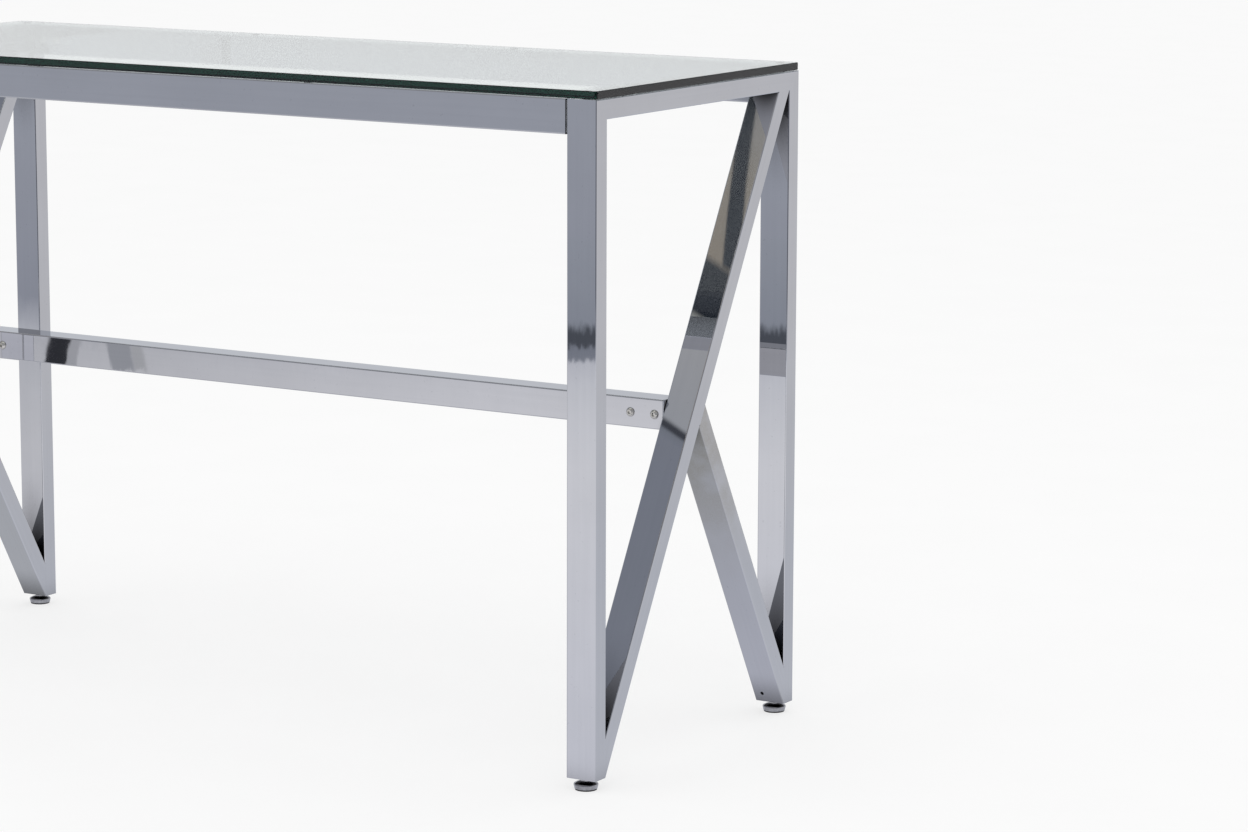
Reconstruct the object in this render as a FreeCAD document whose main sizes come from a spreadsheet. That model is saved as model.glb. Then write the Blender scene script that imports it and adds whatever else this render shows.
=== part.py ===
import FreeCAD, Part
import math
import os
import Sketcher

# Console table: a clear glass top on a knock-down frame of plated rectangular tube.
# Two welded end frames are joined by a front apron, a back apron and a square stretcher,
# and the table stands on four levelling feet.
# Frame: X along the table's length, the front at -Y, +Z up. The origin is on the floor
# under the middle of the table. Every length is in millimetres.

DIMENSIONS = {
    # overall
    "table_length": 1170,
    "table_depth": 450,
    "table_height": 780,
    # glass top and the soft pads it rests on
    "glass_thickness": 9,
    "glass_corner": 4,
    "glass_bevel": 0.8,
    "bumper_height": 0.6,
    "bumper_radius": 5,
    "bumper_spacing": 390,
    # rectangular tube of the end frames and aprons
    "tube_width": 38,
    "tube_depth": 22.5,
    "tube_wall": 1.5,
    "tube_corner": 1.5,
    "frame_bottom": 13,
    "vent_radius": 2.2,
    "vent_rise": 11,
    "vent_inset": 12,
    # aprons and stretcher, which slip over tongues on the end frames
    "apron_height": 39,
    "apron_gap": 2,
    "apron_tongue": 50,
    "stretcher_size": 35,
    "stretcher_centre": 392.3,
    "stretcher_gap": 1.3,
    "stretcher_plate": 1,
    "stretcher_tongue": 135,
    "tongue_play": 0.3,
    "tongue_wall": 3,
    # M6 button head screws
    "screw_radius": 3,
    "screw_length": 8,
    "screw_play": 0.1,
    "screw_hole": 3.2,
    "head_radius": 5.25,
    "head_height": 3.3,
    "head_flat": 2.9,
    "head_rim": 0.4,
    "head_curve": 4.2,
    "socket_size": 4,
    "socket_depth": 2,
    # levelling feet with an M8 stem
    "plate_thickness": 3,
    "nut_size": 13,
    "nut_height": 6.5,
    "stem_radius": 4,
    "stem_play": 0.05,
    "stem_top": 39,
    "stem_bevel": 1,
    "stem_flange": 6.5,
    "flange_bottom": 3.4,
    "flange_top": 4.9,
    "collar_size": 11,
    "collar_bottom": 10.1,
    "collar_top": 12.7,
    "cap_radius": 14,
    "cap_skin": 1,
    "cap_bottom": 1.8,
    "cap_waist": 13.1,
    "cap_widest": 5.8,
    "shoulder_radius": 12.4,
    "shoulder_height": 7.8,
    "shoulder_curve": 1.9,
    "crown_radius": 5,
    "crown_height": 9.8,
    "crown_curve": 16,
    "pad_sole": 12.3,
    "pad_rim": 12.9,
    "pad_core": 11.9,
    "pad_core_top": 12.5,
    "pad_height": 5.2,
    "pad_recess": 6.9,
    "recess_bottom": 3,
}

# Distances from an end frame's inner face to the screws in its tongues.
STRETCHER_SCREWS = (12, 44, 121)
APRON_SCREWS = (16, 38)

HALF_LENGTH = "(Dims.table_length / 2)"
HALF_DEPTH = "(Dims.table_depth / 2)"
GLASS_BOTTOM = "(Dims.table_height - Dims.glass_thickness)"
FRAME_TOP = "(Dims.table_height - Dims.glass_thickness - Dims.bumper_height)"
RAIL_BOTTOM = f"({FRAME_TOP} - Dims.tube_depth)"
INNER_FACE = f"({HALF_LENGTH} - Dims.tube_width)"

# The braces lie along the diagonals of the rectangle inside an end frame.
INNER_BACK = f"({HALF_DEPTH} - Dims.tube_depth)"
BRACE_RUN = "(Dims.table_depth - 2 * Dims.tube_depth)"
BRACE_RISE = f"({RAIL_BOTTOM} - Dims.frame_bottom)"
DIAGONAL = f"sqrt({BRACE_RUN} ^ 2 + {BRACE_RISE} ^ 2)"
PER_COSINE = f"({DIAGONAL} / {BRACE_RUN})"
PER_SINE = f"({DIAGONAL} / {BRACE_RISE})"
CROSSING = f"(Dims.frame_bottom + {BRACE_RISE} / 2)"
INNER_DEPTH = "(Dims.tube_depth - Dims.tube_wall)"

doc = FreeCAD.newDocument("console_table")
sheet = doc.addObject("Spreadsheet::Sheet", "Dims")
nodes = []


def fill_sheet():
    """Write the driving dimensions, one aliased cell each."""
    for row, (alias, number) in enumerate(DIMENSIONS.items(), start=1):
        sheet.set(f"A{row}", alias)
        sheet.set(f"B{row}", str(number))
        sheet.setAlias(f"B{row}", alias)
    doc.recompute()


def value(expression):
    """The number that an expression on the sheet gives now."""
    return float(sheet.evalExpression(str(expression)))


def bind(target, path, expression):
    target.setExpression(path, str(expression))


def place(target, along_x="0", along_y="0", along_z="0"):
    """Bind the three coordinates of an object's Placement to the sheet."""
    bind(target, "Placement.Base.x", along_x)
    bind(target, "Placement.Base.y", along_y)
    bind(target, "Placement.Base.z", along_z)


def new_body(name):
    body = doc.addObject("PartDesign::Body", name)
    body.Label = name
    return body


def keep(target, label):
    """Name a finished piece and list it for export."""
    target.Label = label
    nodes.append(target)
    return target


def new_sketch(body, name, plane, offset):
    """An empty sketch on one of the body's own origin planes, moved along its normal."""
    sketch = body.newObject("Sketcher::SketchObject", name)
    support = [feature for feature in body.Origin.OriginFeatures if feature.Role == plane]
    sketch.AttachmentSupport = [(support[0], "")]
    sketch.MapMode = "FlatFace"
    bind(sketch, "AttachmentOffset.Base.z", offset)
    return sketch


def pin_point(sketch, geometry, point, across, up):
    """Hold a sketch point at two bound distances from the sketch's origin."""
    first = sketch.addConstraint(
        Sketcher.Constraint("DistanceX", -1, 1, geometry, point, value(across)))
    bind(sketch, f"Constraints[{first}]", across)
    second = sketch.addConstraint(
        Sketcher.Constraint("DistanceY", -1, 1, geometry, point, value(up)))
    bind(sketch, f"Constraints[{second}]", up)


def arc_between(start, end, radius, turns_left):
    """The shorter arc from start to end, always drawn counter-clockwise as sketches need."""
    chord = end - start
    middle = (start + end) * 0.5
    left = FreeCAD.Vector(-chord.y, chord.x, 0).normalize()
    reach = math.sqrt(radius ** 2 - (chord.Length / 2) ** 2)
    centre = middle + left * (reach if turns_left else -reach)
    first, last = (start, end) if turns_left else (end, start)
    circle = Part.Circle(centre, FreeCAD.Vector(0, 0, 1), radius)
    return Part.ArcOfCircle(
        circle,
        math.atan2(first.y - centre.y, first.x - centre.x),
        math.atan2(last.y - centre.y, last.x - centre.x))


def outline(body, name, plane, points, offset="0", arcs=None):
    """A closed sketch through bound points.

    arcs gives, for the side that leaves a point, its radius and whether it turns left.
    """
    sketch = new_sketch(body, name, plane, offset)
    arcs = arcs or {}
    corners = [FreeCAD.Vector(value(across), value(up), 0) for across, up in points]
    count = len(corners)
    for side in range(count):
        start, end = corners[side], corners[(side + 1) % count]
        if side in arcs:
            radius, turns_left = arcs[side]
            sketch.addGeometry(arc_between(start, end, value(radius), turns_left), False)
        else:
            sketch.addGeometry(Part.LineSegment(start, end), False)

    def is_flipped(side):
        return side in arcs and not arcs[side][1]

    for side in range(count):
        following = (side + 1) % count
        end_point = 1 if is_flipped(side) else 2
        start_point = 2 if is_flipped(following) else 1
        sketch.addConstraint(
            Sketcher.Constraint("Coincident", side, end_point, following, start_point))
    for side, (across, up) in enumerate(points):
        pin_point(sketch, side, 2 if is_flipped(side) else 1, across, up)
    for side, (radius, turns_left) in arcs.items():
        index = sketch.addConstraint(Sketcher.Constraint("Radius", side, value(radius)))
        bind(sketch, f"Constraints[{index}]", radius)
    return sketch


def rectangle(low_across, high_across, low_up, high_up):
    return [
        (low_across, low_up),
        (high_across, low_up),
        (high_across, high_up),
        (low_across, high_up),
    ]


def hexagon(size):
    """Corners of a hexagon, from its width across flats."""
    corner = f"{size} / sqrt(3)"
    return [
        (f"{corner} * cos({60 * turn} deg)", f"{corner} * sin({60 * turn} deg)")
        for turn in range(6)
    ]


def pad(body, name, sketch, length):
    feature = body.newObject("PartDesign::Pad", name)
    feature.Profile = sketch
    bind(feature, "Length", length)
    doc.recompute()
    return feature


def revolve(body, name, sketch):
    feature = body.newObject("PartDesign::Revolution", name)
    feature.Profile = sketch
    feature.ReferenceAxis = (sketch, ["V_Axis"])
    feature.Angle = 360
    doc.recompute()
    return feature


def pocket(body, name, sketch, depth, reversed_side=False):
    """Cut a sketch into the body, and make sure that the cut removes something."""
    before = body.Shape.Volume
    feature = body.newObject("PartDesign::Pocket", name)
    feature.Profile = sketch
    feature.Reversed = reversed_side
    bind(feature, "Length", depth)
    doc.recompute()
    if body.Shape.Volume > before - 1:
        raise RuntimeError(f"{body.Label}: {name} cuts nothing")
    return feature


def round_edges(body, base, is_wanted, radius):
    """Round the edges whose length is wanted."""
    names = [
        f"Edge{index}"
        for index, edge in enumerate(base.Shape.Edges, start=1)
        if is_wanted(edge.Length)
    ]
    feature = body.newObject("PartDesign::Fillet", "RoundedCorners")
    feature.Base = (base, names)
    bind(feature, "Radius", radius)
    doc.recompute()
    return feature


def round_long_edges(body, base):
    """Round the four edges that run along a tube."""
    shortest = 2 * value("Dims.tube_width")
    return round_edges(body, base, lambda length: length > shortest, "Dims.tube_corner")


def round_thin_edges(body, base, thickness, radius):
    """Round the four corners of a sheet."""
    longest = 2 * value(thickness)
    return round_edges(body, base, lambda length: length < longest, radius)


def drill_towards_back(body, name, centres, start, depth, radius):
    """Round holes along +Y, from the plane y = start. Centres are (x, z) pairs."""
    sketch = new_sketch(body, f"{name}Sketch", "XZ_Plane", f"-({start})")
    for index, (across, up) in enumerate(centres):
        centre = FreeCAD.Vector(value(across), value(up), 0)
        circle = Part.Circle(centre, FreeCAD.Vector(0, 0, 1), value(radius))
        sketch.addGeometry(circle, False)
        pin_point(sketch, index, 3, across, up)
        size = sketch.addConstraint(Sketcher.Constraint("Radius", index, value(radius)))
        bind(sketch, f"Constraints[{size}]", radius)
    return pocket(body, name, sketch, depth)


def side_profile_tube(label, outer, inner, start):
    """A tube of the end frame, from its outer and inner side views. start is its low X."""
    body = new_body(label)
    skin = pad(body, "Tube", outline(body, "SideView", "YZ_Plane", outer), "Dims.tube_width")
    round_long_edges(body, skin)
    bore = outline(body, "InnerView", "YZ_Plane", inner, offset="Dims.tube_wall")
    pocket(body, "Bore", bore, "Dims.tube_width - 2 * Dims.tube_wall", reversed_side=True)
    place(body, along_x=start)
    return keep(body, label)


def long_tube(label, low_y, high_y, low_z, high_z, length, wall, start, rounded=True):
    """A straight tube along X, open at both ends."""
    body = new_body(label)
    outer = rectangle(low_y, high_y, low_z, high_z)
    inner = rectangle(
        f"{low_y} + {wall}", f"{high_y} - {wall}", f"{low_z} + {wall}", f"{high_z} - {wall}")
    skin = pad(body, "Tube", outline(body, "Section", "YZ_Plane", outer), length)
    if rounded:
        round_long_edges(body, skin)
    pocket(body, "Bore", outline(body, "InnerSection", "YZ_Plane", inner), length, True)
    place(body, along_x=start)
    return keep(body, label)


def post_views(sign):
    """Side views of a post. sign is -1 for the front post and 1 for the back one."""
    def across(inset):
        return f"{sign} * ({HALF_DEPTH} - {inset})"

    outer = [
        (across("0"), "Dims.frame_bottom"),
        (across("Dims.tube_depth"), "Dims.frame_bottom"),
        (across("Dims.tube_depth"), RAIL_BOTTOM),
        (across("0"), FRAME_TOP),
    ]
    inner = [
        (across("Dims.tube_wall"), "Dims.frame_bottom"),
        (across(INNER_DEPTH), "Dims.frame_bottom"),
        (across(INNER_DEPTH), f"{FRAME_TOP} - {INNER_DEPTH}"),
        (across("Dims.tube_wall"), f"{FRAME_TOP} - Dims.tube_wall"),
    ]
    return outer, inner


def rail_view(outer_inset, inner_inset):
    """The end rail's side view between two depths below its top, mitred at both ends."""
    return [
        (f"{inner_inset} - {HALF_DEPTH}", f"{FRAME_TOP} - {inner_inset}"),
        (f"{HALF_DEPTH} - {inner_inset}", f"{FRAME_TOP} - {inner_inset}"),
        (f"{HALF_DEPTH} - {outer_inset}", f"{FRAME_TOP} - {outer_inset}"),
        (f"{outer_inset} - {HALF_DEPTH}", f"{FRAME_TOP} - {outer_inset}"),
    ]


def long_brace_view(near, far):
    """From the front post's foot to the back of the end rail, near and far off the diagonal."""
    return [
        (f"-{INNER_BACK}", f"Dims.frame_bottom + {near} * {PER_COSINE}"),
        (f"{INNER_BACK} - {near} * {PER_SINE}", RAIL_BOTTOM),
        (f"{INNER_BACK} - {far} * {PER_SINE}", RAIL_BOTTOM),
        (f"-{INNER_BACK}", f"Dims.frame_bottom + {far} * {PER_COSINE}"),
    ]


def short_brace_view(near, far):
    """From the long brace's middle to the back post's foot."""
    return [
        (f"{near} * {PER_SINE} / 2", f"{CROSSING} + {near} * {PER_COSINE} / 2"),
        (INNER_BACK, f"Dims.frame_bottom + {near} * {PER_COSINE}"),
        (INNER_BACK, f"Dims.frame_bottom + {far} * {PER_COSINE}"),
        (f"{far} * {PER_SINE} / 2", f"{CROSSING} + {far} * {PER_COSINE} / 2"),
    ]


def drill_vent(brace):
    """The plating vent low in the short brace's front face."""
    rise = "(Dims.frame_bottom + Dims.vent_rise)"
    face = f"({INNER_BACK} - Dims.vent_rise * {BRACE_RUN} / {BRACE_RISE})"
    centres = [("Dims.vent_inset", rise)]
    start = f"{face} - 2 * Dims.vent_radius"
    drill_towards_back(brace, "Vent", centres, start, "4 * Dims.vent_radius", "Dims.vent_radius")


def end_frame(side):
    """The five welded tubes of one end frame."""
    start = INNER_FACE if side == "right" else f"-{HALF_LENGTH}"
    for place_name, sign in (("front", "-1"), ("back", "1")):
        outer, inner = post_views(sign)
        side_profile_tube(f"{side}_{place_name}_post", outer, inner, start)
    whole, wall = "Dims.tube_depth", "Dims.tube_wall"
    side_profile_tube(
        f"{side}_end_rail", rail_view("0", whole), rail_view(wall, INNER_DEPTH), start)
    side_profile_tube(
        f"{side}_long_brace",
        long_brace_view("0", whole), long_brace_view(wall, INNER_DEPTH), start)
    brace = side_profile_tube(
        f"{side}_short_brace",
        short_brace_view("0", whole), short_brace_view(wall, INNER_DEPTH), start)
    if side == "right":
        drill_vent(brace)


def tongue(label, side, low_y, high_y, low_z, high_z, root, tip, screws, hole_wall):
    """A tube stub welded to an end frame. Its tapped holes are in the front or back wall.

    root, tip and screws are distances from the end frame's inner face.
    """
    play, wall = "Dims.tube_wall + Dims.tongue_play", "Dims.tongue_wall"
    start = f"{INNER_FACE} - {tip}" if side == "right" else f"{root} - {INNER_FACE}"
    stub = long_tube(
        label, f"{low_y} + {play}", f"{high_y} - ({play})", f"{low_z} + {play}",
        f"{high_z} - ({play})", f"{tip} - {root}", wall, start, rounded=False)
    middle = f"({low_z} + {high_z}) / 2"
    centres = [
        (f"{tip} - {screw}" if side == "right" else f"{screw} - {root}", middle)
        for screw in screws
    ]
    if hole_wall == "front":
        begin = f"{low_y}"
    else:
        begin = f"{high_y} - ({play}) - 1.5 * {wall}"
    drill_towards_back(
        stub, "TappedHoles", centres, begin, f"{play} + 1.5 * {wall}",
        "Dims.screw_radius + Dims.screw_play")


def button_screw(name, rotation, along_x, along_y, along_z):
    """An M6 button head screw with its head's underside at the given point."""
    body = new_body(name)
    points = [
        ("0", "-Dims.screw_length"),
        ("Dims.screw_radius", "-Dims.screw_length"),
        ("Dims.screw_radius", "0"),
        ("Dims.head_radius", "0"),
        ("Dims.head_radius", "Dims.head_rim"),
        ("Dims.head_flat", "Dims.head_height"),
        ("0", "Dims.head_height"),
    ]
    dome = {4: ("Dims.head_curve", True)}
    revolve(body, "Turned", outline(body, "Profile", "XZ_Plane", points, arcs=dome))
    socket = outline(
        body, "SocketView", "XY_Plane", hexagon("Dims.socket_size"), offset="Dims.head_height")
    pocket(body, "Socket", socket, "Dims.socket_depth")
    body.Placement = FreeCAD.Placement(FreeCAD.Vector(), rotation)
    place(body, along_x, along_y, along_z)
    return body


def screw_group(label, facing, along_y, along_z, along_x_list):
    """Several screws as one node. Their heads face the front or the back."""
    angle = 90 if facing == "front" else -90
    rotation = FreeCAD.Rotation(FreeCAD.Vector(1, 0, 0), angle)
    screws = [
        button_screw(f"{label}_{index}", rotation, along_x, along_y, along_z)
        for index, along_x in enumerate(along_x_list, start=1)
    ]
    group = doc.addObject("Part::Compound", label)
    group.Links = screws
    return keep(group, label)


def stretcher_plate(side, section):
    """The plate welded across the braces' crossing, which closes the stretcher's end."""
    body = new_body(f"{side}_stretcher_plate")
    view = outline(body, "SideView", "YZ_Plane", rectangle(*section))
    blank = pad(body, "Plate", view, "Dims.stretcher_plate")
    round_thin_edges(body, blank, "Dims.stretcher_plate", "Dims.tube_corner")
    place(body, f"{INNER_FACE} - Dims.stretcher_plate" if side == "right" else f"-{INNER_FACE}")
    keep(body, f"{side}_stretcher_plate")


def stretcher_and_tongues():
    half = "Dims.stretcher_size / 2"
    low_z, high_z = f"(Dims.stretcher_centre - {half})", f"(Dims.stretcher_centre + {half})"
    low_y, high_y = f"(-{half})", f"({half})"
    length = f"(2 * ({INNER_FACE} - Dims.stretcher_gap))"
    bar = long_tube(
        "stretcher", low_y, high_y, low_z, high_z, length, "Dims.tube_wall", f"-{length} / 2")
    from_end = [f"({screw} - Dims.stretcher_gap)" for screw in STRETCHER_SCREWS]
    centres = [(distance, "Dims.stretcher_centre") for distance in from_end]
    centres += [(f"{length} - {distance}", "Dims.stretcher_centre") for distance in from_end]
    drill_towards_back(
        bar, "ScrewHoles", centres, f"{low_y} - 1", "Dims.tube_wall + 1.2", "Dims.screw_hole")
    for side, sign in (("left", "-1"), ("right", "1")):
        stretcher_plate(side, (low_y, high_y, low_z, high_z))
        tongue(
            f"{side}_stretcher_tongue", side, low_y, high_y, low_z, high_z,
            "Dims.stretcher_plate", "Dims.stretcher_tongue", STRETCHER_SCREWS, "front")
        screw_group(
            f"{side}_stretcher_screws", "front", low_y, "Dims.stretcher_centre",
            [f"{sign} * ({INNER_FACE} - {screw})" for screw in STRETCHER_SCREWS])


def apron_and_tongues(place_name):
    """One apron with its tongues and the screws through its inner face."""
    is_front = place_name == "front"
    low_y = f"(-{HALF_DEPTH})" if is_front else INNER_BACK
    high_y = f"(-{INNER_BACK})" if is_front else HALF_DEPTH
    low_z, high_z = f"({FRAME_TOP} - Dims.apron_height)", FRAME_TOP
    middle = f"({FRAME_TOP} - Dims.apron_height / 2)"
    length = f"(2 * ({INNER_FACE} - Dims.apron_gap))"
    bar = long_tube(
        f"{place_name}_apron", low_y, high_y, low_z, high_z, length, "Dims.tube_wall",
        f"-{length} / 2")
    from_end = [f"({screw} - Dims.apron_gap)" for screw in APRON_SCREWS]
    centres = [(distance, middle) for distance in from_end]
    centres += [(f"{length} - {distance}", middle) for distance in from_end]
    begin = f"{high_y} - Dims.tube_wall - 0.2" if is_front else f"{low_y} - 1"
    drill_towards_back(
        bar, "ScrewHoles", centres, begin, "Dims.tube_wall + 1.2", "Dims.screw_hole")
    for side in ("left", "right"):
        tongue(
            f"{side}_{place_name}_apron_tongue", side, low_y, high_y, low_z, high_z,
            "0", "Dims.apron_tongue", APRON_SCREWS, "back" if is_front else "front")
    screws = [
        f"{sign} * ({INNER_FACE} - {screw})" for sign in ("-1", "1") for screw in APRON_SCREWS
    ]
    screw_group(
        f"{place_name}_apron_screws", "back" if is_front else "front",
        high_y if is_front else low_y, middle, screws)


def glass_top():
    body = new_body("glass_top")
    edges = rectangle(f"-{HALF_LENGTH}", HALF_LENGTH, f"-{HALF_DEPTH}", HALF_DEPTH)
    plan = outline(body, "PlanView", "XY_Plane", edges, offset=GLASS_BOTTOM)
    sheet_of_glass = pad(body, "Sheet", plan, "Dims.glass_thickness")
    corners = round_thin_edges(
        body, sheet_of_glass, "Dims.glass_thickness", "Dims.glass_corner")
    flat_faces = [
        f"Face{index}"
        for index, face in enumerate(corners.Shape.Faces, start=1)
        if abs(face.normalAt(0, 0).z) > 0.9
    ]
    bevel = body.newObject("PartDesign::Chamfer", "PolishedEdges")
    bevel.Base = (corners, flat_faces)
    bind(bevel, "Size", "Dims.glass_bevel")
    doc.recompute()
    keep(body, "glass_top")


def glass_bumpers():
    """Clear pads on the corners of the frame and along both aprons."""
    stations = [f"({HALF_LENGTH} - Dims.tube_width / 2)", "Dims.bumper_spacing / 2"]
    pads = []
    for sign_x in ("-1", "1"):
        for sign_y in ("-1", "1"):
            for station in stations:
                disc = doc.addObject("Part::Cylinder", "bumper")
                bind(disc, "Radius", "Dims.bumper_radius")
                bind(disc, "Height", "Dims.bumper_height")
                depth = f"{sign_y} * ({HALF_DEPTH} - Dims.tube_depth / 2)"
                place(disc, f"{sign_x} * {station}", depth, FRAME_TOP)
                pads.append(disc)
    group = doc.addObject("Part::Compound", "glass_bumpers")
    group.Links = pads
    keep(group, "glass_bumpers")


def bored(label, blank, height, corner_x, corner_y, base_z):
    """A blank on the Z axis with the stem's hole through it, placed over a foot."""
    bore = doc.addObject("Part::Cylinder", f"{label}_bore")
    bind(bore, "Radius", "Dims.stem_radius + Dims.stem_play")
    bind(bore, "Height", height)
    piece = doc.addObject("Part::Cut", label)
    piece.Base = blank
    piece.Tool = bore
    place(piece, corner_x, corner_y, base_z)
    keep(piece, label)


def foot_fixings(corner, corner_x, corner_y):
    """The plate that closes a post and the nut welded on it."""
    plate = doc.addObject("Part::Box", f"{corner}_plate_blank")
    width = "(Dims.tube_width - 2 * Dims.tube_wall)"
    depth = "(Dims.tube_depth - 2 * Dims.tube_wall)"
    bind(plate, "Length", width)
    bind(plate, "Width", depth)
    bind(plate, "Height", "Dims.plate_thickness")
    place(plate, f"-{width} / 2", f"-{depth} / 2")
    bored(f"{corner}_foot_plate", plate, "Dims.plate_thickness", corner_x, corner_y,
          "Dims.frame_bottom")
    nut = doc.addObject("Part::Prism", f"{corner}_nut_blank")
    nut.Polygon = 6
    bind(nut, "Circumradius", "Dims.nut_size / sqrt(3)")
    bind(nut, "Height", "Dims.nut_height")
    bored(f"{corner}_foot_nut", nut, "Dims.nut_height", corner_x, corner_y,
          "Dims.frame_bottom + Dims.plate_thickness")


def foot_stem(corner, corner_x, corner_y):
    body = new_body(f"{corner}_foot_stem")
    points = [
        ("0", "Dims.flange_bottom"),
        ("Dims.stem_flange", "Dims.flange_bottom"),
        ("Dims.stem_flange", "Dims.flange_top"),
        ("Dims.stem_radius", "Dims.flange_top"),
        ("Dims.stem_radius", "Dims.stem_top - Dims.stem_bevel"),
        ("Dims.stem_radius - Dims.stem_bevel", "Dims.stem_top"),
        ("0", "Dims.stem_top"),
    ]
    revolve(body, "Turned", outline(body, "Profile", "XZ_Plane", points))
    collar = outline(
        body, "CollarView", "XY_Plane", hexagon("Dims.collar_size"), offset="Dims.collar_bottom")
    pad(body, "Collar", collar, "Dims.collar_top - Dims.collar_bottom")
    place(body, corner_x, corner_y)
    keep(body, f"{corner}_foot_stem")


def foot_cap(corner, corner_x, corner_y):
    """The domed metal cap, turned from one thin sheet."""
    body = new_body(f"{corner}_foot_cap")
    skin = "Dims.cap_skin"
    hole = "Dims.stem_radius + Dims.stem_play"
    points = [
        (f"Dims.cap_waist - {skin}", "Dims.cap_bottom"),
        ("Dims.cap_waist", "Dims.cap_bottom"),
        ("Dims.cap_radius", "Dims.cap_widest"),
        ("Dims.shoulder_radius", "Dims.shoulder_height"),
        ("Dims.crown_radius", "Dims.crown_height"),
        (hole, "Dims.crown_height"),
        (hole, f"Dims.crown_height - {skin}"),
        ("Dims.crown_radius", f"Dims.crown_height - {skin}"),
        (f"Dims.shoulder_radius - {skin} / 2", f"Dims.shoulder_height - {skin}"),
        (f"Dims.cap_radius - {skin}", f"Dims.cap_widest - {skin} / 4"),
    ]
    arcs = {2: ("Dims.shoulder_curve", True), 3: ("Dims.crown_curve", True)}
    revolve(body, "Turned", outline(body, "Profile", "XZ_Plane", points, arcs=arcs))
    place(body, corner_x, corner_y)
    keep(body, f"{corner}_foot_cap")


def foot_pad(corner, corner_x, corner_y):
    """The moulded pad that fills the cap and holds the stem's flange in its recess."""
    body = new_body(f"{corner}_foot_pad")
    points = [
        ("0", "0"),
        ("Dims.pad_sole", "0"),
        ("Dims.pad_rim", "Dims.cap_bottom"),
        ("Dims.pad_core", "Dims.cap_bottom"),
        ("Dims.pad_core_top", "Dims.pad_height"),
        ("Dims.pad_recess", "Dims.pad_height"),
        ("Dims.pad_recess", "Dims.recess_bottom"),
        ("0", "Dims.recess_bottom"),
    ]
    revolve(body, "Turned", outline(body, "Profile", "XZ_Plane", points))
    place(body, corner_x, corner_y)
    keep(body, f"{corner}_foot_pad")


def feet():
    for side, sign_x in (("left", "-1"), ("right", "1")):
        for place_name, sign_y in (("front", "-1"), ("back", "1")):
            corner = f"{side}_{place_name}"
            corner_x = f"{sign_x} * ({HALF_LENGTH} - Dims.tube_width / 2)"
            corner_y = f"{sign_y} * ({HALF_DEPTH} - Dims.tube_depth / 2)"
            foot_fixings(corner, corner_x, corner_y)
            foot_stem(corner, corner_x, corner_y)
            foot_cap(corner, corner_x, corner_y)
            foot_pad(corner, corner_x, corner_y)


def check_document():
    for item in doc.Objects:
        if "Invalid" in item.State or "Error" in item.State:
            raise RuntimeError(f"{item.Label} failed: {item.State}")
    for piece in nodes:
        if piece.Shape.isNull() or not piece.Shape.isValid():
            raise RuntimeError(f"{piece.Label} has no valid shape")
    labels = [piece.Label for piece in nodes]
    if len(set(labels)) != len(labels):
        raise RuntimeError("two pieces share a name")


def write_steps():
    os.makedirs("parts", exist_ok=True)
    for piece in nodes:
        piece.Shape.exportStep(f"parts/{piece.Label}.step")
        box = piece.Shape.BoundBox
        print(f"{piece.Label}: {len(piece.Shape.Solids)} solid(s), "
              f"{piece.Shape.Volume / 1000:.2f} cm3, "
              f"X {box.XMin:.1f}..{box.XMax:.1f}, Y {box.YMin:.1f}..{box.YMax:.1f}, "
              f"Z {box.ZMin:.1f}..{box.ZMax:.1f}")


fill_sheet()
for frame_side in ("left", "right"):
    end_frame(frame_side)
stretcher_and_tongues()
for apron_place in ("front", "back"):
    apron_and_tongues(apron_place)
glass_top()
glass_bumpers()
feet()
doc.recompute()
check_document()
write_steps()
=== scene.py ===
"""Looks of the chrome and glass console table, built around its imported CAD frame."""
import math

import bmesh
import bpy
from mathutils import Matrix, Vector


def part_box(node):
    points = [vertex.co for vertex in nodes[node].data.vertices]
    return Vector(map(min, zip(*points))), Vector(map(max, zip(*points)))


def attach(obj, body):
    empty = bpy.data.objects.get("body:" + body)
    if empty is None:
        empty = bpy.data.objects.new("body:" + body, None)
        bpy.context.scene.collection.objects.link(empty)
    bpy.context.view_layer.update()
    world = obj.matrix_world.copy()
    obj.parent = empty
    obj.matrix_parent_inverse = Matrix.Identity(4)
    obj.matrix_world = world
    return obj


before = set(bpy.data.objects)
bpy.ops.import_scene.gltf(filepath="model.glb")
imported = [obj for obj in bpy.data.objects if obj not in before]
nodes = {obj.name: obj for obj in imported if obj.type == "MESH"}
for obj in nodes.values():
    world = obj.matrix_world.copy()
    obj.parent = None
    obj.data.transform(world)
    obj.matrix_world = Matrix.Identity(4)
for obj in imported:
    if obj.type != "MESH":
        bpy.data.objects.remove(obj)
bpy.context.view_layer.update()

MM = 0.001
X_AXIS = (1, 0, 0)
Y_AXIS = (0, 1, 0)
Z_AXIS = (0, 0, 1)
SIDES = ("left", "right")
CORNERS = [f"{side}_{end}" for side in SIDES for end in ("front", "back")]

# The camera, in metres and degrees. It stands in front and to the right, above the top.
CAMERA_PLACE = (2.8927, -3.9482, 1.1820)
CAMERA_HEADING = 31.39
CAMERA_PITCH = 9.80
CAMERA_ROLL = 0.18
CAMERA_LENS = 117.42
SENSOR_WIDTH = 36.0

RIGHT_ANGLE = 90.0


# Node helpers.

def opaque(red, green, blue):
    """A colour with its alpha."""
    return (red, green, blue, 1.0)


def shaded(colour, share):
    """A colour dimmed to a share of its brightness."""
    return opaque(*(share * channel for channel in colour))


def clear_tree(owner):
    """An empty node tree on a material or a world."""
    owner.use_nodes = True
    owner.node_tree.nodes.clear()
    return owner.node_tree


def node(tree, kind, inputs=None, **settings):
    """A node with its settings. An input is a number, a vector, a colour or a node's output."""
    made = tree.nodes.new(kind)
    for name, setting in settings.items():
        setattr(made, name, setting)
    for name, given in (inputs or {}).items():
        socket = made.inputs[name]
        if isinstance(given, bpy.types.NodeSocket):
            tree.links.new(given, socket)
        else:
            socket.default_value = given
    return made


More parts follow.
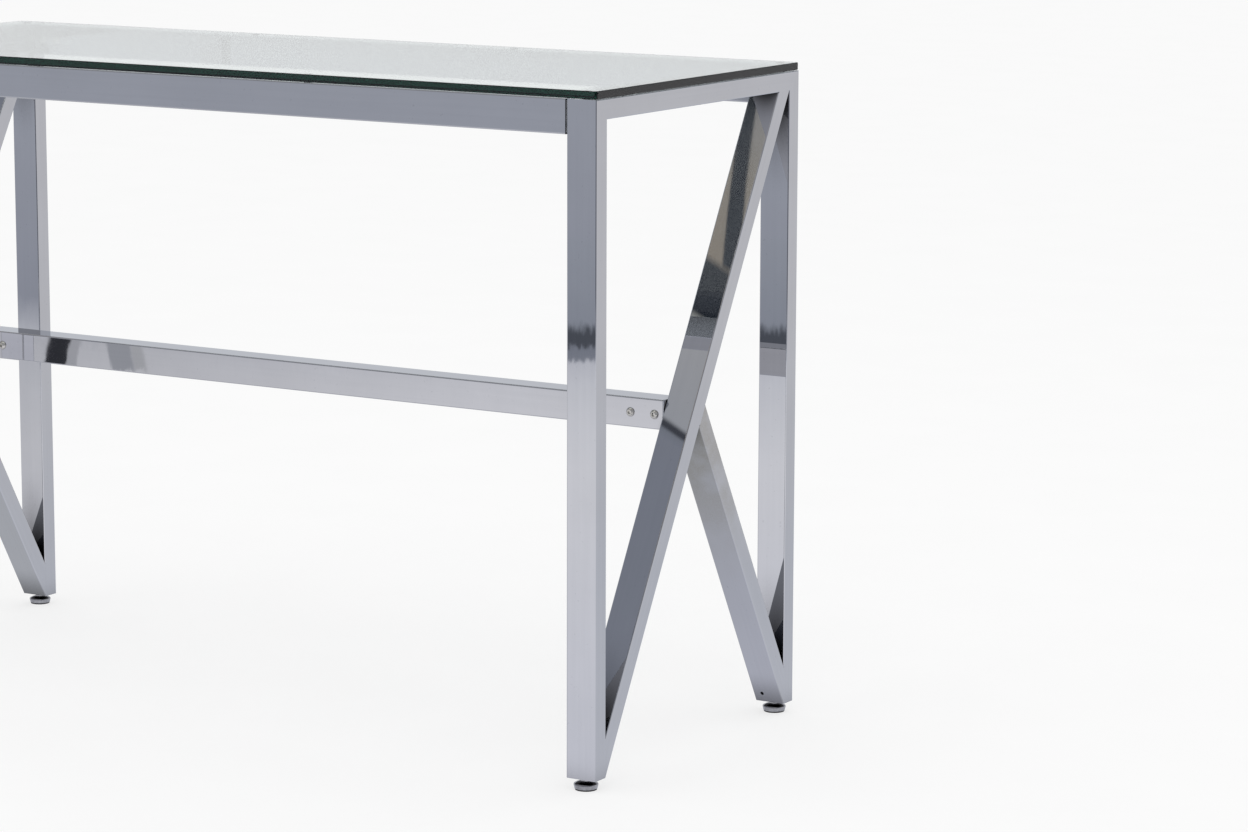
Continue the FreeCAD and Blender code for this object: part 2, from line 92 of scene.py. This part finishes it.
def scalar(tree, operation, *terms, clamp=False):
    """One Math node."""
    inputs = dict(enumerate(terms))
    return node(tree, "ShaderNodeMath", inputs, operation=operation, use_clamp=clamp).outputs[0]


def remap(tree, source, low, high, new_low, new_high):
    """A clamped linear map from one range to another."""
    inputs = {"Value": source, "From Min": low, "From Max": high, "To Min": new_low, "To Max": new_high}
    return node(tree, "ShaderNodeMapRange", inputs).outputs["Result"]


def noise(tree, vector, scale, detail=2.0, roughness=0.5):
    """The value of a Noise Texture."""
    inputs = {"Vector": vector, "Scale": scale, "Detail": detail, "Roughness": roughness}
    return node(tree, "ShaderNodeTexNoise", inputs).outputs[0]


def product(tree, first, second, *more):
    """Two or more numbers multiplied."""
    result = scalar(tree, "MULTIPLY", first, second)
    for factor in more:
        result = scalar(tree, "MULTIPLY", result, factor)
    return result


def scaled(tree, vector, factors):
    """A vector multiplied part by part."""
    inputs = {0: vector, 1: factors}
    return node(tree, "ShaderNodeVectorMath", inputs, operation="MULTIPLY").outputs[0]


def mix_colours(tree, factor, first, second):
    """A colour between two colours. A Mix node's inputs 6 and 7 and its output 2 are for colours."""
    inputs = {0: factor, 6: first, 7: second}
    return node(tree, "ShaderNodeMix", inputs, data_type="RGBA").outputs[2]


def colour_ramp(tree, factor, stops):
    """A Color Ramp with (position, (red, green, blue)) stops."""
    ramp = node(tree, "ShaderNodeValToRGB", {"Fac": factor})
    elements = ramp.color_ramp.elements
    while len(elements) < len(stops):
        elements.new(1.0)
    for element, (position, colour) in zip(elements, stops):
        element.position = position
        element.color = opaque(*colour)
    return ramp.outputs["Color"]


# Materials. A noise's scale is in cells per metre, and a bump's height is in metres.

CHROME_TINT = (0.60, 0.605, 0.635)
BAND_TINT = opaque(0.30, 0.31, 0.34)
STAIN_TINT = opaque(0.46, 0.445, 0.42)
# Painted shade: the colour that chrome is darkened to deep between tubes that meet at a sharp angle.
CREVICE_SHADE_TINT = opaque(0.055, 0.052, 0.050)
CREVICE_SHADE_REACH = 60.0 * MM
CREVICE_SHADE_SAMPLES = 8
FRAME_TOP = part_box("right_end_rail")[1].z
UNDER_GLASS = (FRAME_TOP - 2.0 * MM, FRAME_TOP - 1.0 * MM)
WAVE_HEIGHT = 0.012 * MM
LINE_HEIGHT = 0.0002 * MM
PIT_HEIGHT = 0.006 * MM
SCUFF_HEIGHT = 0.010 * MM
GRAIN_HEIGHT = 0.02 * MM
ROUGH_SPREAD = 0.07
GLASS_TINT = opaque(0.985, 1.0, 0.992)
GLASS_DEPTH_TINT = opaque(0.44, 0.61, 0.57)
GLASS_DEPTH_DENSITY = 19.0


def surface(name, shader_inputs):
    """A material with one Principled shader: the material, its tree, the shader and the output."""
    material = bpy.data.materials.new(name)
    tree = clear_tree(material)
    shader = node(tree, "ShaderNodeBsdfPrincipled", shader_inputs)
    output = node(tree, "ShaderNodeOutputMaterial", {"Surface": shader.outputs[0]})
    return material, tree, shader, output


def object_coordinates(tree):
    """A place on a piece, in metres in the frame that all pieces share."""
    return node(tree, "ShaderNodeTexCoord").outputs["Object"]


def along_tube(tree, axis, stretch):
    """Coordinates squeezed along a tube, so that a noise on them makes lines that run with it."""
    turn = Vector(axis).normalized().rotation_difference(Vector(Z_AXIS)).to_euler()
    inputs = {"Vector": object_coordinates(tree), "Rotation": turn}
    upright = node(tree, "ShaderNodeVectorRotate", inputs, rotation_type="EULER_XYZ").outputs[0]
    return scaled(tree, upright, (1.0, 1.0, 1.0 / stretch))


def bump(tree, height, distance, normal=None):
    """A bump as high as distance where the height is 1."""
    inputs = {"Strength": 1.0, "Distance": distance, "Height": height}
    if normal is not None:
        inputs["Normal"] = normal
    return node(tree, "ShaderNodeBump", inputs).outputs[0]


def height_of(tree, place):
    """The Z part of a vector."""
    return node(tree, "ShaderNodeSeparateXYZ", {0: place}).outputs["Z"]


def crevice_shade(tree, place):
    """0 deep between two tubes that meet at a sharp angle, where shade falls, and 1 outside: the mask of
    the chrome's painted shade.

    The frame's top faces lie close under the glass, and they are left out of the painted shade.
    """
    reach = {"Distance": CREVICE_SHADE_REACH}
    open_share = node(tree, "ShaderNodeAmbientOcclusion", reach, samples=CREVICE_SHADE_SAMPLES).outputs["AO"]
    under_glass = remap(tree, height_of(tree, place), *UNDER_GLASS, 0.0, 1.0)
    return scalar(tree, "MAXIMUM", remap(tree, open_share, 0.15, 0.80, 0.0, 1.0), under_glass)


def stain(tree, place, low, high):
    """How strong a brownish stain in the plating is: none at the height low and most at high."""
    mottle = noise(tree, place, scale=700.0, detail=3.0, roughness=0.7)
    blotches = noise(tree, place, scale=28.0, detail=3.0)
    return product(
        tree,
        remap(tree, height_of(tree, place), low, high, 0.0, 1.0),
        remap(tree, blotches, 0.35, 0.60, 0.25, 1.0),
        remap(tree, mottle, 0.35, 0.65, 0.55, 1.0),
    )


def connect(tree, shader, colour, rough, normal):
    """Give a Principled shader its colour, roughness and normal."""
    for socket, source in (("Base Color", colour), ("Roughness", rough), ("Normal", normal)):
        tree.links.new(source, shader.inputs[socket])


def chrome(name, axis, tint=CHROME_TINT, stained=None):
    """Bright chrome plate over a tube polished along its length.

    It has faint polishing lines and bands, small specks, a slight waviness of the tube wall,
    and thin hazy patches that dull the mirror a little. stained gives the two heights that a
    stain runs between.
    """
    material, tree, shader, _ = surface(name, {"Metallic": 1.0})
    place = object_coordinates(tree)
    lines = noise(tree, along_tube(tree, axis, stretch=45.0), scale=850.0, detail=3.0, roughness=0.6)
    bands = noise(tree, along_tube(tree, axis, stretch=40.0), scale=190.0, detail=2.0)
    haze = noise(tree, place, scale=9.0, detail=4.0, roughness=0.6)
    specks = noise(tree, place, scale=260.0, detail=2.0)
    waves = noise(tree, place, scale=11.0, detail=1.0)

    hazy = remap(tree, haze, 0.35, 0.70, 0.0, 1.0)
    colour = mix_colours(tree, hazy, opaque(*tint), shaded(tint, 0.955))
    colour = mix_colours(tree, remap(tree, specks, 0.70, 0.76, 0.0, 0.35), colour, shaded(tint, 0.72))
    colour = mix_colours(tree, remap(tree, bands, 0.35, 0.70, 0.0, 0.05), colour, BAND_TINT)
    if stained:
        colour = mix_colours(tree, stain(tree, place, *stained), colour, STAIN_TINT)
    # Painted shade: the chrome goes darker deep between tubes that meet at a sharp angle.
    colour = mix_colours(tree, crevice_shade(tree, place), CREVICE_SHADE_TINT, colour)
    streaks = remap(tree, lines, 0.25, 0.75, -0.002, 0.004)
    rough = scalar(tree, "ADD", remap(tree, haze, 0.40, 0.75, 0.005, 0.016), streaks, clamp=True)
    normal = bump(tree, lines, LINE_HEIGHT, bump(tree, waves, WAVE_HEIGHT))
    connect(tree, shader, colour, rough, normal)
    return material


def glass():
    """Clear float glass, green through its thickness, with a barely visible wiped film."""
    inputs = {"Base Color": GLASS_TINT, "Transmission Weight": 1.0, "IOR": 1.5}
    material, tree, shader, output = surface("clear_glass", inputs)
    film = noise(tree, object_coordinates(tree), scale=5.0, detail=5.0, roughness=0.65)
    tree.links.new(remap(tree, film, 0.45, 0.80, 0.0, 0.012), shader.inputs["Roughness"])
    depth = {"Color": GLASS_DEPTH_TINT, "Density": GLASS_DEPTH_DENSITY}
    absorption = node(tree, "ShaderNodeVolumeAbsorption", depth)
    tree.links.new(absorption.outputs[0], output.inputs["Volume"])
    return material


def plated_steel(name, dark, light, grain=140.0, rough=0.27):
    """Zinc or nickel plate: a satin metal with cloudy crystals and fine pits."""
    material, tree, shader, _ = surface(name, {"Metallic": 1.0})
    place = object_coordinates(tree)
    clouds = noise(tree, place, scale=grain, detail=4.0, roughness=0.6)
    pits = noise(tree, place, scale=12.0 * grain, detail=2.0)
    cloudy = remap(tree, clouds, 0.30, 0.70, 0.0, 1.0)
    colour = mix_colours(tree, cloudy, opaque(*dark), opaque(*light))
    uneven = remap(tree, clouds, 0.30, 0.70, 0.75 * rough, 1.25 * rough)
    connect(tree, shader, colour, uneven, bump(tree, pits, PIT_HEIGHT))
    return material


def foot_chrome():
    """The feet's pressed and plated caps: darker chrome with still darker scuffs."""
    material, tree, shader, _ = surface("foot_chrome_plate", {"Metallic": 1.0})
    place = object_coordinates(tree)
    scuffs = noise(tree, place, scale=320.0, detail=4.0, roughness=0.7)
    scuffed = remap(tree, scuffs, 0.40, 0.70, 0.0, 1.0)
    colour = mix_colours(tree, scuffed, opaque(0.40, 0.40, 0.42), opaque(0.28, 0.28, 0.30))
    rough = remap(tree, scuffs, 0.35, 0.75, 0.05, 0.16)
    connect(tree, shader, colour, rough, bump(tree, scuffs, SCUFF_HEIGHT))
    return material


def moulded(name, dark, light, rough, transmission=0.0):
    """A moulded plastic or rubber with a fine spark-eroded grain."""
    material, tree, shader, _ = surface(name, {"Transmission Weight": transmission, "IOR": 1.48})
    place = object_coordinates(tree)
    grain = noise(tree, place, scale=1500.0, detail=3.0)
    clouds = noise(tree, place, scale=90.0, detail=3.0)
    colour = mix_colours(tree, clouds, opaque(*dark), opaque(*light))
    uneven = remap(tree, clouds, 0.30, 0.70, rough - ROUGH_SPREAD, rough + ROUGH_SPREAD)
    connect(tree, shader, colour, uneven, bump(tree, grain, GRAIN_HEIGHT))
    return material


def dress(name, material):
    """Give a CAD node its finish."""
    mesh = nodes[name].data
    mesh.materials.clear()
    mesh.materials.append(material)


# Directions and heights that the finishes and the welds need, read from the CAD frame.

def brace_lean():
    """How the long brace leans in the end frame: its direction in (Y, Z), as a unit vector."""
    post_low, post_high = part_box("right_front_post")
    back_low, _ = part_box("right_back_post")
    rail_low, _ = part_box("right_end_rail")
    run = back_low.y - post_high.y
    rise = rail_low.z - post_low.z
    return Vector((run, rise)).normalized()


lean = brace_lean()
LONG_BRACE_AXIS = (0, lean.x, lean.y)
SHORT_BRACE_AXIS = (0, lean.x, -lean.y)

# Where the stain on a short brace starts and is full, as shares of the brace's top height.
STAIN_FROM = 0.45
STAIN_TO = 0.80


def dress_nodes():
    """A finish for every CAD node. Returns the posts' chrome, which the welds share."""
    post = chrome("chrome_post", Z_AXIS)
    rail = chrome("chrome_rail", Y_AXIS)
    long_brace = chrome("chrome_long_brace", LONG_BRACE_AXIS)
    brace_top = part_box("right_short_brace")[1].z
    stained = (STAIN_FROM * brace_top, STAIN_TO * brace_top)
    short_brace = chrome("chrome_short_brace", SHORT_BRACE_AXIS, stained=stained)
    apron = chrome("chrome_apron", X_AXIS)
    stretcher = chrome("chrome_stretcher", X_AXIS, tint=(0.615, 0.615, 0.640))
    zinc = plated_steel("zinc_plate", (0.40, 0.41, 0.42), (0.58, 0.59, 0.60))
    nickel = plated_steel(
        "nickel_plate", (0.56, 0.54, 0.50), (0.74, 0.72, 0.68), grain=300.0, rough=0.10)
    stem = plated_steel("stem_plate", (0.36, 0.36, 0.37), (0.52, 0.52, 0.53), grain=220.0)
    cap = foot_chrome()
    pad = moulded("black_nylon", (0.006, 0.006, 0.007), (0.014, 0.014, 0.015), rough=0.60)
    bumper = moulded(
        "clear_bumper", (0.80, 0.82, 0.80), (0.90, 0.91, 0.89), rough=0.25, transmission=0.75)

    dress("glass_top", glass())
    dress("glass_bumpers", bumper)
    dress("stretcher", stretcher)
    for end in ("front", "back"):
        dress(f"{end}_apron", apron)
        dress(f"{end}_apron_screws", nickel)
    for side in SIDES:
        for name, finish in (
            ("front_post", post), ("back_post", post), ("end_rail", rail), ("long_brace", long_brace),
            ("short_brace", short_brace), ("stretcher_tongue", zinc), ("front_apron_tongue", zinc),
            ("back_apron_tongue", zinc), ("stretcher_screws", nickel),
        ):
            dress(f"{side}_{name}", finish)
    for corner in CORNERS:
        for name, finish in (("plate", post), ("nut", zinc), ("stem", stem), ("cap", cap), ("pad", pad)):
            dress(f"{corner}_foot_{name}", finish)
    return post


# The end frames' welds, ground flush with the tubes' faces.

WELD_WIDTH = 1.7 * MM
WELD_DEPTH = 1.5 * MM
WELD_SINK = 0.02 * MM
CORNER_RADIUS = 1.5 * MM


def weld_seams():
    """The seams of an end frame's side view.

    Each is a start, an end and the side that the rounded tube lies on, in (Y, Z).
    """
    front_low, front_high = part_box("right_front_post")
    back_low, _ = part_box("right_back_post")
    rail_low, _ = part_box("right_end_rail")
    tube = front_high.y - front_low.y
    bottom, underside = front_low.z, rail_low.z
    front, back = front_high.y, back_low.y
    foot_rise = tube / lean.x
    rail_run = tube / lean.y
    crossing = Vector(((front + back) / 2, (bottom + underside) / 2))
    branch_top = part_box("right_short_brace")[1].z
    branch = Vector((crossing.x + (branch_top - crossing.y) * lean.x / lean.y, branch_top))
    return [
        (Vector((front, bottom)), Vector((front, bottom + foot_rise)), Vector((-1, 0))),
        (Vector((back, bottom)), Vector((back, bottom + foot_rise)), Vector((1, 0))),
        (Vector((back - rail_run, underside)), Vector((back, underside)), Vector((0, 1))),
        (crossing, branch, Vector((-lean.y, lean.x))),
    ]


def add_prism(mesh, start, end, across, low_x, high_x):
    """A four-sided bar from start to end in the side view, WELD_WIDTH wide towards across."""
    inset = (end - start).normalized() * CORNER_RADIUS
    start, end, width = start + inset, end - inset, across * WELD_WIDTH
    corners = [start, end, end + width, start + width]
    near = [mesh.verts.new((low_x, corner.x, corner.y)) for corner in corners]
    far = [mesh.verts.new((high_x, corner.x, corner.y)) for corner in corners]
    mesh.faces.new(near)
    mesh.faces.new(far[::-1])
    for i in range(len(corners)):
        mesh.faces.new((near[i], near[i - 1], far[i - 1], far[i]))


def weld_fill(side, material):
    """One piece holding an end frame's eight ground welds."""
    low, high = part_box(f"{side}_front_post")
    mesh = bmesh.new()
    for start, end, across in weld_seams():
        add_prism(mesh, start, end, across, low.x + WELD_SINK, low.x + WELD_DEPTH)
        add_prism(mesh, start, end, across, high.x - WELD_DEPTH, high.x - WELD_SINK)
    bmesh.ops.recalc_face_normals(mesh, faces=mesh.faces)
    data = bpy.data.meshes.new(f"{side}_frame_welds")
    mesh.to_mesh(data)
    mesh.free()
    data.materials.append(material)
    piece = bpy.data.objects.new(f"{side}_frame_welds", data)
    bpy.context.collection.objects.link(piece)
    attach(piece, "table")


# Studio.

BACKGROUND = opaque(0.974, 0.974, 0.974)

# What the chrome mirrors, as colours by height angle in degrees: in front of the table, and
# behind it.
ROOM_IN_FRONT = [
    (-90, (0.70, 0.71, 0.74)),
    (-58, (0.75, 0.77, 0.86)),
    (-55.8, (0.64, 0.66, 0.70)),
    (-54.9, (0.57, 0.58, 0.57)),
    (-54.2, (0.73, 0.76, 0.80)),
    (-45, (0.72, 0.73, 0.76)),
    (-25, (0.82, 0.83, 0.88)),
    (-14.6, (0.84, 0.85, 0.915)),
    (-10.6, (0.94, 0.942, 0.97)),
    (-9.2, (0.83, 0.84, 0.88)),
    (-8.5, (0.40, 0.42, 0.48)),
    (-5.5, (0.465, 0.488, 0.544)),
    (4, (0.38, 0.39, 0.42)),
    (28, (0.34, 0.36, 0.40)),
    (33, (0.27, 0.29, 0.34)),
    (38.4, (0.27, 0.29, 0.34)),
    (43, (0.42, 0.39, 0.375)),
    (52, (0.45, 0.45, 0.46)),
    (65, (0.34, 0.34, 0.36)),
    (90, (0.28, 0.28, 0.30)),
]
ROOM_BEHIND = [
    (-90, (0.70, 0.71, 0.74)),
    (-45, (0.72, 0.73, 0.76)),
    (-20, (0.74, 0.76, 0.82)),
    (-12, (0.66, 0.68, 0.73)),
    (-8.5, (0.74, 0.74, 0.76)),
    (-3, (0.72, 0.72, 0.74)),
    (2, (0.88, 0.89, 0.90)),
    (6.5, (0.88, 0.89, 0.90)),
    (8.3, (0.635, 0.660, 0.705)),
    (12, (0.62, 0.64, 0.68)),
    (25, (0.40, 0.41, 0.43)),
    (90, (0.28, 0.28, 0.30)),
]

# Two stretches of the room in front, drawn finely: the dark line where floor and wall meet,
# and the dark band high on the wall with the brown ceiling over it.
FLOOR_LINE = [
    (-9.40, (0.83, 0.84, 0.88)),
    (-9.06, (0.74, 0.75, 0.80)),
    (-9.00, (0.29, 0.31, 0.36)),
    (-8.84, (0.27, 0.29, 0.34)),
    (-8.80, (0.10, 0.11, 0.13)),
    (-8.62, (0.10, 0.11, 0.13)),
    (-8.50, (0.36, 0.385, 0.44)),
    (-7.30, (0.42, 0.445, 0.500)),
]
WALL_BAND = [
    (38.40, (0.27, 0.29, 0.34)),
    (38.50, (0.25, 0.27, 0.31)),
    (38.54, (0.07, 0.075, 0.09)),
    (38.60, (0.07, 0.075, 0.09)),
    (38.66, (0.46, 0.475, 0.50)),
    (39.98, (0.485, 0.49, 0.50)),
    (40.06, (0.37, 0.36, 0.34)),
    (40.14, (0.020, 0.025, 0.035)),
    (40.78, (0.030, 0.035, 0.045)),
    (40.90, (0.385, 0.32, 0.26)),
    (42.00, (0.39, 0.34, 0.29)),
    (43.00, (0.42, 0.39, 0.375)),
]

# How far, in degrees, the edges between those colours are blurred or ragged, and how fine
# and how long the streaks of the ragged edges are.
BAND_BLUR = 0.01
EDGE_RAGGEDNESS = 0.09
EDGE_LINES = 1700.0
EDGE_STRETCH = (1.0, 1.0, 0.03)

# How far behind and in front of the table, as a part of a unit vector, its two halves mix.
HALVES_BLUR = 0.15

# Azimuth 0 is straight in front and grows to the right. Left of one azimuth the floor line
# drops, in degrees per degree, and it fades out to the far left and right. What stands high
# above it doesn't drop.
LINE_TILT = 0.05
TILT_FADE = (-7.0, -4.0)
LINE_CENTRE = -32.0
LINE_FADE = (-38.0, -36.0)
LINE_FADE_RIGHT = (25.0, 35.0)

# The floor under that line grows darker to the left.
SHADE_SPREAD = (-41.0, -33.0)
SHADE_DEPTH = 0.20
SHADE_EDGE = (-9.05, -8.95)

# Stands on the floor line, as the azimuths of their edges at STAND_WAIST, how far they lean
# to the right in degrees per degree of height, and a colour.
STANDS = [
    (-39.56, -39.26, 0.22, (0.040, 0.042, 0.050)),
    (-39.26, -39.12, 0.22, (0.50, 0.51, 0.54)),
    (-38.70, -38.38, -0.20, (0.42, 0.435, 0.47)),
    (-38.38, -38.22, -0.20, (0.54, 0.55, 0.57)),
]
STAND_WAIST = -8.86
STAND_BLUR = 0.015
STAND_HEIGHTS = (-9.12, -8.0)
STAND_END_BLUR = 0.02

# A dark pole in front, as two (azimuth, height) directions along it, its half width, the angles
# from its middle between which its edge blurs, and the heights over which its foot ends.
POLE_FROM = (-42.32, 42.98)
POLE_TO = (-41.02, 41.20)
POLE_HALF_WIDTH = 0.11
POLE_EDGE = (0.9 * POLE_HALF_WIDTH, 1.1 * POLE_HALF_WIDTH)
POLE_FOOT = (40.8, 40.9)
POLE_COLOUR = opaque(0.026, 0.032, 0.044)

# A dark screen to the right of the camera, just under eye level.
SCREEN_AZIMUTHS = (8.0, 78.0)
SCREEN_SIDE_BLUR = 6.0
SCREEN_HEIGHTS = (-8.5, 0.0)
SCREEN_END_BLUR = 0.5
SCREEN_COLOUR = opaque(0.12, 0.125, 0.15)

# Pale boards near the floor line, as the azimuths of their edges.
PALE_BOARDS = [(36.0, 43.0), (-144.0, -136.0)]
BOARD_HEIGHTS = (-9.5, -8.3)
BOARD_BLUR = 0.1
BOARD_COLOUR = opaque(1.06, 1.07, 1.12)


def ramp_between(tree, height, stops):
    """A Color Ramp over the heights from the first stop to the last."""
    low, high = stops[0][0], stops[-1][0]
    place = remap(tree, height, low, high, 0.0, 1.0)
    return colour_ramp(tree, place, [((angle - low) / (high - low), colour) for angle, colour in stops])


def between(tree, source, low, high, blur):
    """1 between two limits and 0 outside them."""
    after = remap(tree, source, low - blur, low + blur, 0.0, 1.0)
    before = remap(tree, source, high - blur, high + blur, 1.0, 0.0)
    return product(tree, after, before)


def heading(azimuth, height):
    """The unit vector that points at an azimuth and a height, both in degrees."""
    azimuth, height = math.radians(azimuth), math.radians(height)
    level = math.cos(height)
    return Vector((level * math.sin(azimuth), -level * math.cos(azimuth), math.sin(height)))


def pole_mask(tree, direction, height, in_front):
    """1 on the pole, which stands above the wall's dark band."""
    inputs = {0: direction, 1: heading(*POLE_FROM).cross(heading(*POLE_TO)).normalized()}
    aside = node(tree, "ShaderNodeVectorMath", inputs, operation="DOT_PRODUCT").outputs["Value"]
    off_axis = scalar(tree, "DEGREES", scalar(tree, "ABSOLUTE", aside))
    on_line = remap(tree, off_axis, *POLE_EDGE, 1.0, 0.0)
    above = remap(tree, height, *POLE_FOOT, 0.0, 1.0)
    return product(tree, on_line, above, in_front)


def board_mask(tree, azimuth, height):
    """1 on the pale boards, which lighten a post's mirror image in the stretcher."""
    sideways = 0.0
    for left, right in PALE_BOARDS:
        sideways = scalar(tree, "MAXIMUM", sideways, between(tree, azimuth, left, right, BOARD_BLUR))
    return product(tree, sideways, between(tree, height, *BOARD_HEIGHTS, BOARD_BLUR))


def screen_mask(tree, azimuth, height):
    """1 on the dark screen, which the tubes' right front corners mirror as a thin line."""
    sideways = between(tree, azimuth, *SCREEN_AZIMUTHS, SCREEN_SIDE_BLUR)
    return product(tree, sideways, between(tree, height, *SCREEN_HEIGHTS, SCREEN_END_BLUR))


def room_in_front(tree, azimuth, height, exact):
    """The half of the room that faces the table, with its floor line, wall band and stands.

    height has ragged edges, and exact doesn't.
    """
    turned = scalar(tree, "MINIMUM", scalar(tree, "SUBTRACT", azimuth, LINE_CENTRE), 0.0)
    tilt = remap(tree, height, *TILT_FADE, LINE_TILT, 0.0)
    tilted = scalar(tree, "MULTIPLY_ADD", turned, tilt, height)
    on_line = product(
        tree,
        between(tree, tilted, FLOOR_LINE[0][0], FLOOR_LINE[-1][0], BAND_BLUR),
        remap(tree, azimuth, *LINE_FADE, 0.0, 1.0),
        remap(tree, azimuth, *LINE_FADE_RIGHT, 1.0, 0.0),
    )
    colour = ramp_between(tree, tilted, ROOM_IN_FRONT)
    colour = mix_colours(tree, on_line, colour, ramp_between(tree, tilted, FLOOR_LINE))

    shade = remap(tree, azimuth, *SHADE_SPREAD, SHADE_DEPTH, 0.0)
    on_floor = remap(tree, tilted, *SHADE_EDGE, 1.0, 0.0)
    colour = mix_colours(tree, product(tree, shade, on_floor), colour, opaque(0.0, 0.0, 0.0))

    on_band = between(tree, exact, WALL_BAND[0][0], WALL_BAND[-1][0], BAND_BLUR)
    colour = mix_colours(tree, on_band, colour, ramp_between(tree, exact, WALL_BAND))

    standing = between(tree, height, *STAND_HEIGHTS, STAND_END_BLUR)
    above_waist = scalar(tree, "SUBTRACT", height, STAND_WAIST)
    for left, right, lean_right, stand_colour in STANDS:
        upright = scalar(tree, "MULTIPLY_ADD", above_waist, -lean_right, azimuth)
        on_stand = product(tree, standing, between(tree, upright, left, right, STAND_BLUR))
        colour = mix_colours(tree, on_stand, colour, opaque(*stand_colour))
    return colour


def room():
    """The studio around the table: pale everywhere, but a painted room in mirrors.

    The edges of the room's colours are painted ragged, so that their mirror images in the chrome are
    ragged too.
    """
    world = bpy.data.worlds.new("studio")
    bpy.context.scene.world = world
    tree = clear_tree(world)
    direction = node(tree, "ShaderNodeTexCoord").outputs["Generated"]
    parts = node(tree, "ShaderNodeSeparateXYZ", {0: direction}).outputs
    streaks = noise(tree, scaled(tree, direction, EDGE_STRETCH), scale=EDGE_LINES, detail=2.0)
    ragged = remap(tree, streaks, 0.2, 0.8, -EDGE_RAGGEDNESS, EDGE_RAGGEDNESS)
    exact = scalar(tree, "DEGREES", scalar(tree, "ARCSINE", parts["Z"]))
    height = scalar(tree, "ADD", exact, ragged)
    forward = product(tree, parts["Y"], -1.0)
    azimuth = scalar(tree, "DEGREES", scalar(tree, "ARCTAN2", parts["X"], forward))
    in_front = remap(tree, parts["Y"], -HALVES_BLUR, HALVES_BLUR, 1.0, 0.0)

    colour = ramp_between(tree, height, ROOM_BEHIND)
    colour = mix_colours(tree, in_front, colour, room_in_front(tree, azimuth, height, exact))
    colour = mix_colours(tree, pole_mask(tree, direction, exact, in_front), colour, POLE_COLOUR)
    colour = mix_colours(tree, screen_mask(tree, azimuth, exact), colour, SCREEN_COLOUR)
    colour = mix_colours(tree, board_mask(tree, azimuth, exact), colour, BOARD_COLOUR)
    in_mirror = node(tree, "ShaderNodeLightPath").outputs["Is Glossy Ray"]
    light = node(
        tree, "ShaderNodeBackground", {"Color": mix_colours(tree, in_mirror, BACKGROUND, colour)})
    node(tree, "ShaderNodeOutputWorld", {"Surface": light.outputs[0]})


FLOOR_RADIUS = 40.0
FLOOR_SEGMENTS = 96
FLOOR_GLOW = 0.700


def floor():
    """A plain pale floor. The chrome mirrors the room's own floor, not this one."""
    mesh = bmesh.new()
    bmesh.ops.create_circle(mesh, cap_ends=True, radius=FLOOR_RADIUS, segments=FLOOR_SEGMENTS)
    data = bpy.data.meshes.new("floor")
    mesh.to_mesh(data)
    mesh.free()
    material, tree, shader, _ = surface("pale_floor", {
        "Roughness": 0.8, "Specular IOR Level": 0.0,
        "Emission Color": opaque(1.0, 1.0, 1.0), "Emission Strength": FLOOR_GLOW,
    })
    clouds = noise(tree, object_coordinates(tree), scale=6.0, detail=3.0)
    colour = mix_colours(tree, clouds, opaque(0.25, 0.25, 0.25), opaque(0.27, 0.27, 0.27))
    tree.links.new(colour, shader.inputs["Base Color"])
    data.materials.append(material)
    made = bpy.data.objects.new("floor", data)
    made.visible_glossy = False
    bpy.context.collection.objects.link(made)


def softbox(name, place, aim, width, depth, power):
    """A large soft light, left out of mirrors."""
    data = bpy.data.lights.new(name, "AREA")
    data.shape = "RECTANGLE"
    data.size = width
    data.size_y = depth
    data.energy = power
    light = bpy.data.objects.new(name, data)
    light.location = place
    towards = Vector(aim) - Vector(place)
    light.rotation_euler = towards.to_track_quat("-Z", "Y").to_euler()
    light.visible_glossy = False
    bpy.context.collection.objects.link(light)


def camera():
    """The camera, level but for a small roll."""
    data = bpy.data.cameras.new("camera")
    data.lens = CAMERA_LENS
    data.sensor_width = SENSOR_WIDTH
    data.clip_end = 2 * FLOOR_RADIUS
    made = bpy.data.objects.new("camera", data)
    turn = Matrix.Rotation(math.radians(CAMERA_HEADING), 4, "Z")
    pitch = Matrix.Rotation(math.radians(RIGHT_ANGLE - CAMERA_PITCH), 4, "X")
    roll = Matrix.Rotation(math.radians(CAMERA_ROLL), 4, "Z")
    made.matrix_world = Matrix.Translation(CAMERA_PLACE) @ turn @ pitch @ roll
    bpy.context.collection.objects.link(made)
    bpy.context.scene.camera = made


post_chrome = dress_nodes()
for side in SIDES:
    weld_fill(side, post_chrome)
room()
floor()
softbox("top_light", (0.4, -0.6, 3.2), (0.0, 0.0, 0.4), width=3.0, depth=2.2, power=12.0)
camera()
bpy.context.scene.view_settings.view_transform = "Standard"
